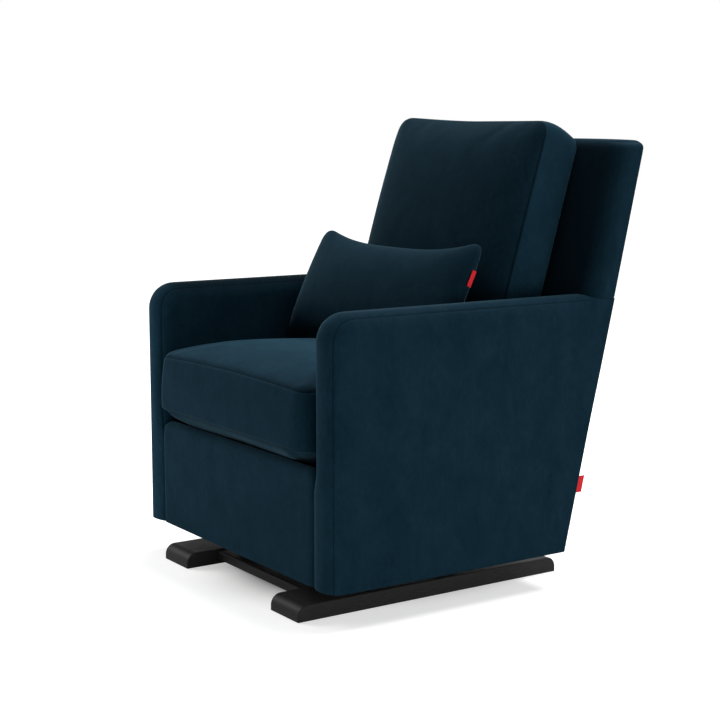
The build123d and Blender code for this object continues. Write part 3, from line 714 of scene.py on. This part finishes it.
class GLIDER_OT_seat_cushion(Operator):
    """Box cushion with a crowned top, a side band between two seams and a rolled lower lip"""
    bl_idname = "glider.seat_cushion"
    bl_label = "Seat cushion"

    def execute(self, context):
        fabric, sizes = context.scene.glider_fabric, context.scene.glider_cushions
        half = SEAT_HIGH.x - SEAT_SIDE_IN
        front, rear = SEAT_LOW.y + SEAT_FRONT_IN, SEAT_HIGH.y - SEAT_REAR_IN
        seam_low = SEAT_SEAM - sizes.seat_boxing
        lines = cloth_lines(fabric, (-half, half), (front, rear), (seam_low, SEAT_SEAM))
        piece, place, number = lattice_block("seat_cushion_soft", *lines)
        x, y, z = place.T.copy()
        radius = sizes.seat_corner
        round_corners(x, y, half, ((front, -1), (rear, 1)), radius)
        below, above = ends(number, 2)
        up = (z - seam_low) / sizes.seat_boxing
        depth, out_y, out_x = under_rim(y - front, half - np.abs(x), radius)
        flare = sizes.seat_flare * (1 - up) ** 1.2 + SEAT_BELLY * dome(2 * up - 1, 2.0)
        flare *= 1 - smooth(0, SEAT_FLARE_FADE, depth)
        turn = radius * np.where(above, SEAT_TOP_TURN, SEAT_LIP_TURN)
        ahead, behind = (under_rim(run, half - np.abs(x), turn)[0] for run in (y - front, rear - y))
        depth = np.maximum(np.minimum(ahead, behind), 0)
        rise = 1 - (1 - np.clip((y - front) / SEAT_CROWN_RUN, 0, 1)) ** 3
        lower = 1 - SEAT_REAR_LOWER * smooth(SEAT_LOWER_FROM, SEAT_LOWER_TO, y)
        crown = sizes.seat_crown * dome(x / half, 3.0) * rise
        crown = (crown + sizes.seat_shoulder * round_in(depth)) * lower
        to_deck = seam_low - SEAT_LIP - DECK_HIGH.z
        lip = (SEAT_LIP + to_deck * smooth(front + SEAT_LIP_FROM, front + SEAT_LIP_TO, y)) * round_in(depth)
        z += sizes.seat_bow * dome(x / half, 2.0) * up + np.where(above, crown, 0) - np.where(below, lip, 0)
        x += np.sign(x) * out_x * flare
        y -= out_y * flare
        shape(piece, x, y, z)
        seam = rim(number, 0, 1) & (below | above)
        stuff(piece, sizes.pressure, SEAT_CAP, seam, np.abs(x) > half - 2 * radius)
        points = read_points(piece)
        limit = ARM_LOW.x - ARM_GAP
        points[:, 0] = np.clip(points[:, 0], -limit, limit)
        over_apron = points[:, 1] < APRON_HIGH.y + APRON_REACH
        rest = np.where(over_apron, APRON_HIGH.z + APRON_GAP, DECK_HIGH.z + DECK_GAP)
        points[:, 2] = np.maximum(points[:, 2], rest)
        write_points(piece, points)
        sew(piece, seam, fabric.seam_depth)
        # Painted light and shade on the seat: lighter towards the rear of the top, darker by the left arm
        # where it shades the top, lighter on the band
        shade = SEAT_FRONT_PAINTED_LIGHT + SEAT_REAR_PAINTED_LIGHT * smooth(front + 0.03, front + 0.20, y)
        shade += SEAT_LEFT_PAINTED_SHADE * smooth(half - 0.09, half, x)
        mark(piece, "tone", np.where(above, shade, SEAT_BAND_PAINTED_LIGHT))
        refine(piece)
        dress(piece, fabric, "chair", "seat_cushion")
        return {"FINISHED"}


class GLIDER_OT_back_cushion(Operator):
    """Leaning box cushion with a full front and drawn-in top"""
    bl_idname = "glider.back_cushion"
    bl_label = "Back cushion"

    def execute(self, context):
        fabric, sizes = context.scene.glider_fabric, context.scene.glider_cushions
        half, low, top = CUSHION_HALF, BACK_LOW.z + CUSHION_FOOT_IN, CUSHION_TOP
        lines = cloth_lines(fabric, (-half, half), (0.0, CUSHION_DEEP), (low, top))
        piece, place, number = lattice_block("back_cushion_soft", *lines)
        x, deep, z = place.T.copy()
        radius = sizes.back_corner
        round_corners(x, z, half, ((low, -1), (top, 1)), radius)
        share = deep / CUSHION_DEEP
        up = (z - low) / (top - low)
        u = x / half
        ears = CUSHION_EAR * np.abs(u) ** 3 + CUSHION_FAR_EAR * np.clip(-u, 0, 1) ** 1.5
        arch = CUSHION_ARCH * dome(u, 3.0) + CUSHION_BAND_ARCH * np.sin(np.pi * share) * dome(u, 4.0)
        z += up * (ears + arch - CUSHION_DROP * share ** 1.6)
        x -= (CUSHION_FAR_SIDE + CUSHION_FAR_TOP * smooth(0.70, 0.95, up)) * np.clip(-u, 0, 1) ** 2
        front = CUSHION_FRONT + CUSHION_FRONT_LEAN * (z - CUSHION_DATUM)
        rear = CUSHION_REAR + CUSHION_REAR_LEAN * (z - CUSHION_DATUM)
        y = front + (rear - front) * share
        ahead, behind = ends(number, 1)
        flat_u, flat_v = place[:, 0] / half, 2 * (place[:, 2] - low) / (top - low) - 1
        swell = dome(flat_u, 2.6) ** 0.5 * dome(flat_v, 2.6) ** 0.6
        folds = sum(crease(x, z, *fold) for fold in CUSHION_FOLDS)
        y[ahead] -= (sizes.back_crown * swell - FOLD_DEPTH * folds)[ahead]
        y[behind] += (CUSHION_REAR_SWELL * swell)[behind]
        shape(piece, x, y, z)
        seam = rim(number, 0, 2) & (ahead | behind)
        stuff(piece, sizes.pressure, BACK_CAP, seam, (np.abs(u) > 0.8) & (np.abs(up - 0.5) > 0.4))
        points = read_points(piece)
        points[:, 1] = np.minimum(points[:, 1], back_face_y(points[:, 2]) - BACK_GAP)
        write_points(piece, points)
        sew(piece, seam, 0.25 * fabric.seam_depth)
        # Painted shade on the cushion's front and painted light on its band
        mark(piece, "tone", np.where(ahead, BACK_FRONT_PAINTED_SHADE, BACK_BAND_PAINTED_LIGHT))
        refine(piece)
        dress(piece, fabric, "chair", "back_cushion")
        return {"FINISHED"}


class GLIDER_OT_pillow(Operator):
    """Knife-edge lumbar pillow leaning on the back cushion"""
    bl_idname = "glider.pillow"
    bl_label = "Lumbar pillow"

    def execute(self, context):
        fabric, sizes = context.scene.glider_fabric, context.scene.glider_cushions
        half, tall, radius = PILLOW_HIGH.x, PILLOW_TALL, PILLOW_CORNER
        across, up = cloth_lines(fabric, (-half, half), (-tall / 2, tall / 2))
        piece, place, number = lattice_block("lumbar_pillow_soft", across, np.array([-1.0, 1.0]), up)
        x, side, w = place.T.copy()
        round_corners(x, w, half, ((-tall / 2, -1), (tall / 2, 1)), radius)
        u, v = x / half, w / (tall / 2)
        middle = dome(u, 3.0)
        x += np.where(u > 0, PILLOW_LEFT_EAR, PILLOW_RIGHT_EAR) * u ** 3 * v ** 2
        low_y, low_z = (at + sag * middle for at, sag in zip(PILLOW_FOOT, PILLOW_FOOT_SAG))
        high_y, high_z = (at + sag * middle for at, sag in zip(PILLOW_HEAD, PILLOW_HEAD_SAG))
        t = (v + 1) / 2
        y, z = low_y + (high_y - low_y) * t, low_z + (high_z - low_z) * t
        run = np.hypot(high_y - low_y, high_z - low_z)
        out_y, out_z = -(high_z - low_z) / run, (high_y - low_y) / run
        full = np.where(side < 0, PILLOW_FRONT_FULL, PILLOW_REAR_FULL) * sizes.pillow_swell
        flat_u, flat_v = place[:, 0] / half, 2 * place[:, 2] / tall
        swell = PILLOW_EDGE + full * np.sqrt(dome(flat_u, 2.4) * dome(flat_v, 2.0))
        x -= PILLOW_SHIFT_X
        y += np.where(side < 0, 1, -1) * out_y * swell - PILLOW_SHIFT_Y
        z += np.where(side < 0, 1, -1) * out_z * swell
        shape(piece, x, y, z)
        seam = rim(number, 0, 2)
        stuff(piece, sizes.pressure, PILLOW_CAP, seam, (np.abs(u) > 0.8) & (np.abs(v) > 0.7), hold=0.6)
        # Painted shade over the whole pillow
        mark(piece, "tone", np.full(len(x), PILLOW_PAINTED_SHADE))
        refine(piece)
        dress(piece, fabric, "pillow", "lumbar_pillow")
        return {"FINISHED"}


class GLIDER_OT_arms(Operator):
    """Two slab arms: bull-nosed band over the front and top, flat padded sides"""
    bl_idname = "glider.arms"
    bl_label = "Arms"

    def execute(self, context):
        fabric = context.scene.glider_fabric
        inner, outer = ARM_LOW.x, ARM_HIGH.x
        front, low, crest = ARM_LOW.y, ARM_LOW.z, ARM_HIGH.z
        piece, place, number = lattice_block(
            "arm_left",
            spread(inner, outer, ARM_GRID[0], fabric.seam_half),
            spread(0.0, 1.0, ARM_GRID[1], ARM_SEAM_SHARE),
            spread(low, crest, ARM_GRID[2], fabric.seam_half))
        x, share, z = place.T.copy()
        y = front + (rear_y(z) - PANEL_PROUD - front) * share
        nosed = 1 - smooth(BACK_FACE + ARM_NOSE_FROM, BACK_FACE + ARM_NOSE_TO, y)
        top = BACK_BASE + ARM_CROWN * nosed
        z = low + (z - low) * (top - low) / (crest - low)
        dy, dz = corner_pull(front + ARM_CORNER - y, z - top + ARM_CORNER, ARM_CORNER)
        y -= dy
        z += dz
        depth, out_y, out_z = under_rim(y - front, top - z, ARM_CORNER)
        nose = np.maximum(ARM_NOSE * nosed, 0.001)
        middle, half = (inner + outer) / 2, (outer - inner) / 2
        dx, pull = corner_pull(np.abs(x - middle) - half + nose, nose - depth, nose)
        x += np.sign(x - middle) * dx
        y -= out_y * pull
        z += out_z * pull
        beside = 1 - smooth(APRON_HIGH.z - ARM_TAPER, APRON_HIGH.z, z)
        beside *= 1 - smooth(front + ARM_SPREAD_FROM, front + ARM_SPREAD_TO, y)
        x -= ARM_SPREAD * np.clip((middle - x) / half, 0, 1) * beside
        shape(piece, x, y, z)
        band = ends(number, 1)[0] | ends(number, 2)[1]
        sew(piece, rim(number, 0) & band & (y < BACK_FACE), 0.5 * fabric.seam_depth)
        # Painted light on the faces that look forward
        mark(piece, "tone", ARM_FRONT_PAINTED_LIGHT * np.clip(-point_normals(piece)[:, 1], 0, 1))
        refine(piece)
        twin = mirrored(piece, "arm_right")
        # Painted light on the far arm's forward faces and painted shade on its upward faces
        normals = point_normals(twin)
        ahead, upward = np.clip(-normals[:, 1], 0, 1), np.clip(normals[:, 2], 0, 1)
        mark(twin, "tone", FAR_ARM_FRONT_PAINTED_LIGHT * ahead + FAR_ARM_TOP_PAINTED_SHADE * upward)
        for arm, side in ((piece, "left"), (twin, "right")):
            dress(arm, fabric, "chair", f"arm_cover_{side}")
        return {"FINISHED"}


class GLIDER_OT_back(Operator):
    """Upholstered back: full-width head, inside back between the arms and the outside panel"""
    bl_idname = "glider.back"
    bl_label = "Back"

    def head(self, fabric):
        half, low, top = COVER_HIGH.x, BACK_BASE, COVER_HIGH.z
        piece, place, _ = lattice_block(
            "back_cover_head",
            spread(-half, half, HEAD_GRID[0], fabric.seam_half),
            spread(0.0, 1.0, HEAD_GRID[1], HEAD_SEAM_SHARE),
            spread(low, top, HEAD_GRID[2], fabric.seam_half))
        x, share, z = place.T.copy()
        near = back_face_y(z)
        y = near + (rear_y(z) - PANEL_PROUD - near) * share
        edge = half - HEAD_CORNER + np.sqrt(HEAD_CORNER ** 2 - np.clip(z - top + HEAD_CORNER, 0, None) ** 2)
        x *= edge / half
        dx, dy = corner_pull(np.abs(x) - edge + HEAD_CHEEK, near + HEAD_CHEEK - y, HEAD_CHEEK)
        x += np.sign(x) * dx
        y -= dy
        depth, out_y, out_x = under_rim(y - near, edge - np.abs(x), HEAD_CHEEK)
        dz, pull = corner_pull(z - top + HEAD_BROW, HEAD_BROW - depth, HEAD_BROW)
        x += np.sign(x) * out_x * pull
        y -= out_y * pull
        z += dz + HEAD_ARCH * dome(x / half, 4.0) * smooth(low, top, z)
        shape(piece, x, y, z)
        # Painted shade on the faces that look forward, darker the more squarely they face forward
        mark(piece, "tone", HEAD_PAINTED_SHADE * np.clip(-point_normals(piece)[:, 1], 0, 1) ** 2)
        refine(piece)
        return piece

    def execute(self, context):
        fabric = context.scene.glider_fabric
        head = self.head(fabric)
        half = ARM_LOW.x - INSIDE_GAP
        inside, place, _ = lattice_block(
            "inside_back",
            spread(-half, half, INSIDE_GRID[0]),
            spread(0.0, 1.0, INSIDE_GRID[1]),
            spread(COVER_LOW.z, BACK_BASE + INSIDE_LAP, INSIDE_GRID[2]))
        x, share, z = place.T.copy()
        y = back_face_y(z) + (rear_y(z) - PANEL_THICK - back_face_y(z)) * share
        shape(inside, x, y, z)
        refine(inside)
        half, crest = PANEL_HIGH.x - PANEL_INSET, PANEL_HIGH.z - PANEL_INSET
        panel, place, _ = lattice_block(
            "outside_back_soft",
            spread(-half, half, PANEL_GRID[0], fabric.seam_half),
            spread(0.0, PANEL_THICK, PANEL_GRID[1]),
            spread(PANEL_LOW.z, crest, PANEL_GRID[2], fabric.seam_half))
        x, deep, z = place.T.copy()
        round_corners(x, z, half, ((crest, 1),), HEAD_CORNER)
        y = rear_y(z) - PANEL_THICK + deep
        shape(panel, x, y, z)
        refine(panel)
        dress(head, fabric, "chair", "back_cover")
        dress(inside, fabric, "chair")
        dress(panel, fabric, "chair", "outside_back_panel")
        return {"FINISHED"}


class GLIDER_OT_apron(Operator):
    """Padded panel across the front under the seat cushion"""
    bl_idname = "glider.apron"
    bl_label = "Front apron"

    def execute(self, context):
        fabric = context.scene.glider_fabric
        piece, place, _ = lattice_block(
            "front_apron_soft",
            spread(APRON_LOW.x, APRON_HIGH.x, APRON_GRID[0], fabric.seam_half),
            spread(APRON_LOW.y, APRON_HIGH.y, APRON_GRID[1]),
            spread(APRON_LOW.z, APRON_HIGH.z, APRON_GRID[2], fabric.seam_half))
        x, y, z = place.T.copy()
        front, top, half = APRON_LOW.y, APRON_HIGH.z, APRON_HIGH.x
        round_corners(x, z, half, ((top, 1),), APRON_CORNER)
        depth, out_z, out_x = under_rim(top - z, half - np.abs(x), APRON_CORNER)
        dy, pull = corner_pull(front + APRON_EDGE - y, APRON_EDGE - depth, APRON_EDGE)
        y -= dy
        z += out_z * pull
        x += np.sign(x) * out_x * pull
        behind = np.clip(ARM_LOW.y + ARM_NOSE - y, 0, ARM_NOSE)
        limit = ARM_LOW.x + ARM_NOSE + APRON_GAP - np.sqrt(ARM_NOSE ** 2 - behind ** 2)
        x = np.clip(x, -limit, limit)
        shape(piece, x, y, z)
        # Painted light over the whole apron
        mark(piece, "tone", np.full(len(x), APRON_PAINTED_LIGHT))
        refine(piece)
        dress(piece, fabric, "chair", "front_apron")
        return {"FINISHED"}


class GLIDER_OT_base(Operator):
    """Finishes of the base, the glide mechanism and the frame inside the upholstery"""
    bl_idname = "glider.base"
    bl_label = "Base, mechanism and frame"

    def execute(self, context):
        colours = context.scene.glider_finishes
        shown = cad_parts
        stain = (colours.runner, scaled(colours.runner, 1.8))
        timber = (colours.timber, scaled(colours.timber, 1.25))
        for name, axis, nodes in (
                ("black_stain", 1, ["runner_left", "runner_right"]),
                ("black_stain_cross", 0, ["front_stretcher", "rear_stretcher"])):
            paint_nodes(wooden(name, *stain, grain_along(axis, 6.0, 0.35), bump=0.25, gloss=0.04), *nodes)
        for name, axis, nodes in (
                ("frame_timber", 2, [n for n in shown if "post" in n]),
                ("frame_timber_cross", 0, ["front_rail", "rear_rail", "back_top_rail", "back_middle_rail",
                                           "back_low_rail", "corner_blocks", "stretcher_dowels"]),
                ("frame_timber_deep", 1, [n for n in shown if n.startswith("arm_") and "rail" in n])):
            paint_nodes(wooden(name, *timber, grain_along(axis, 3.0, 0.3), bump=0.3, gloss=0.3), *nodes)
        steel = mottled("black_powder_coat", colours.paint, scaled(colours.paint, 1.6),
                        roughness=(0.38, 0.52), scale=700.0, bump=0.25)
        paint_nodes(steel, *[n for n in shown if n.startswith(("upright_", "swing_link", "glide_rail"))])
        zinc = mottled("zinc_plate", colours.plating, scaled(colours.plating, 0.8),
                       roughness=(0.26, 0.42), scale=420.0, bump=0.1, metallic=1.0)
        paint_nodes(zinc, *[n for n in shown if "bolts" in n or "nuts" in n], "seat_springs", "spring_clips")
        nylon = mottled("white_nylon", (0.72, 0.71, 0.67), (0.66, 0.65, 0.60),
                        roughness=(0.40, 0.5), scale=260.0, bump=0.1)
        paint_nodes(nylon, *[n for n in shown if n.startswith("link_bushes")])
        rubber = mottled("black_rubber", (0.018, 0.018, 0.018), (0.028, 0.027, 0.026),
                         roughness=(0.6, 0.8), scale=500.0, bump=0.3)
        paint_nodes(rubber, "glide_stops")
        felt = mottled("grey_felt", (0.12, 0.115, 0.11), (0.17, 0.165, 0.16),
                       roughness=(0.9, 1.0), scale=900.0, bump=0.7)
        paint_nodes(felt, "floor_pads")
        deck = woven("deck_cloth", (0.006, 0.011, 0.016), (0.003, 0.005, 0.008), 420.0, gloss=0.0)
        paint_nodes(deck, "seat_deck")
        jute = woven("back_webbing", (0.34, 0.25, 0.15), (0.16, 0.11, 0.06), 300.0)
        paint_nodes(jute, "back_webbing")
        return {"FINISHED"}


class GLIDER_OT_tags(Operator):
    """Two plain folded tags, one on the pillow's end and one in the rear side seam"""
    bl_idname = "glider.tags"
    bl_label = "Tags"

    def execute(self, context):
        colours = context.scene.glider_finishes
        material = woven("tag_ribbon", colours.tag, scaled(colours.tag, 0.7), 900.0)
        paint_nodes(material, "side_tag", "pillow_tag")
        return {"FINISHED"}


class GLIDER_OT_stage(Operator):
    """White floor and room, soft lights and the camera"""
    bl_idname = "glider.stage"
    bl_label = "Stage"

    def light(self, name, power, place, size):
        bpy.ops.object.light_add(type="AREA", location=place)
        lamp = bpy.context.object
        lamp.name = name
        lamp.rotation_euler = (Vector(LAMP_AIM) - Vector(place)).to_track_quat("-Z", "Y").to_euler()
        lamp.data.shape = "RECTANGLE"
        lamp.data.size, lamp.data.size_y = size
        lamp.data.energy = power

    def floor(self):
        clear_selection()
        bpy.ops.mesh.primitive_plane_add(size=FLOOR_SIZE, location=(0, 0, 0))
        floor = bpy.context.object
        floor.name = "studio_floor"
        material, tree, shader = new_material("studio_floor")
        set_values(shader, Base_Color=(0.76, 0.76, 0.76, 1), Roughness=0.9, Specular_IOR_Level=0.0,
                   Emission_Color=(1, 1, 1, 1))
        glow = add_node(tree, "Math", operation="MULTIPLY")
        where = add_node(tree, "TexCoord")
        away = add_node(tree, "VectorMath", operation="LENGTH")
        fade = add_node(tree, "MapRange", From_Min=0.70, From_Max=2.0, To_Min=0.60, To_Max=1.0)
        # Painted shadow: the floor's glow fades to nothing in a disc under the chair, so the floor there is
        # darker than its lamps alone make it
        under = add_node(tree, "MapRange", interpolation_type="SMOOTHSTEP",
                         From_Min=0.20, From_Max=0.47, To_Min=0.0, To_Max=1.0)
        narrow = add_node(tree, "Mapping", Scale=(1.4, 1.0, 1.0))
        beside = add_node(tree, "VectorMath", operation="LENGTH")
        white = add_node(tree, "Math", operation="MULTIPLY")
        wire(
            tree,
            (where, "Object", away, 0), (away, "Value", fade, "Value"),
            (where, "Object", narrow, "Vector"), (narrow, "Vector", beside, 0),
            (beside, "Value", under, "Value"), (fade, "Result", white, 0),
            (under, "Result", white, 1), (white, "Value", glow, 1),
            (seen_rays(tree), "Value", glow, 0), (glow, "Value", shader, "Emission Strength"))
        floor.data.materials.append(material)

    def room(self, ambient):
        world = bpy.data.worlds.new("studio_room")
        bpy.context.scene.world = world
        world.use_nodes = True
        tree = world.node_tree
        tree.nodes.clear()
        soft = add_node(tree, "Background", Color=(1, 1, 1, 1), Strength=ambient)
        white = add_node(tree, "Background", Color=(1, 1, 1, 1), Strength=1.0)
        mix = add_node(tree, "MixShader")
        output = add_node(tree, "OutputWorld")
        wire(
            tree,
            (seen_rays(tree), "Value", mix, "Fac"), (soft, "Background", mix, 1),
            (white, "Background", mix, 2), (mix, "Shader", output, "Surface"))

    def execute(self, context):
        stage = context.scene.glider_stage
        self.floor()
        self.room(stage.ambient)
        for name, power, place, size in LAMPS:
            self.light(name, getattr(stage, power), place, size)
        azimuth, level = stage.azimuth, math.cos(stage.pitch)
        back = Vector((math.sin(azimuth) * level, -math.cos(azimuth) * level, math.sin(stage.pitch)))
        bpy.ops.object.camera_add(location=stage.camera_place)
        camera = bpy.context.object
        camera.name = "photo_camera"
        camera.rotation_euler = (-back).to_track_quat("-Z", "Y").to_euler()
        camera.data.lens = stage.lens
        camera.data.sensor_width = 36.0
        camera.data.clip_end = 50.0
        context.scene.camera = camera
        context.scene.view_settings.view_transform = "Standard"
        return {"FINISHED"}


class GLIDER_PT_panel(Panel):
    """Lists the chair's pieces and their settings"""
    bl_idname = "GLIDER_PT_panel"
    bl_label = "Glider chair"
    bl_space_type = "VIEW_3D"
    bl_region_type = "UI"
    bl_category = "Glider"

    def draw(self, context):
        for operator in OPERATORS:
            self.layout.operator(operator.bl_idname)
        for name in SETTINGS:
            group = getattr(context.scene, name)
            box = self.layout.box()
            for key in group.bl_rna.properties.keys():
                if key not in ("rna_type", "name"):
                    box.prop(group, key)


OPERATORS = (
    GLIDER_OT_groups,
    GLIDER_OT_seat_cushion,
    GLIDER_OT_back_cushion,
    GLIDER_OT_pillow,
    GLIDER_OT_arms,
    GLIDER_OT_back,
    GLIDER_OT_apron,
    GLIDER_OT_base,
    GLIDER_OT_tags,
    GLIDER_OT_stage,
)
SETTINGS = {
    "glider_fabric": GliderFabric,
    "glider_cushions": GliderCushions,
    "glider_finishes": GliderFinishes,
    "glider_stage": GliderStage,
}


def register():
    for made in (*SETTINGS.values(), *OPERATORS, GLIDER_PT_panel):
        bpy.utils.register_class(made)
    for name, made in SETTINGS.items():
        setattr(bpy.types.Scene, name, PointerProperty(type=made))


def unregister():
    for name in SETTINGS:
        delattr(bpy.types.Scene, name)
    for made in (GLIDER_PT_panel, *reversed(OPERATORS), *reversed(list(SETTINGS.values()))):
        bpy.utils.unregister_class(made)


def main():
    register()
    for operator in OPERATORS:
        group, name = operator.bl_idname.split(".")
        getattr(getattr(bpy.ops, group), name)()


if __name__ == "__main__":
    main()
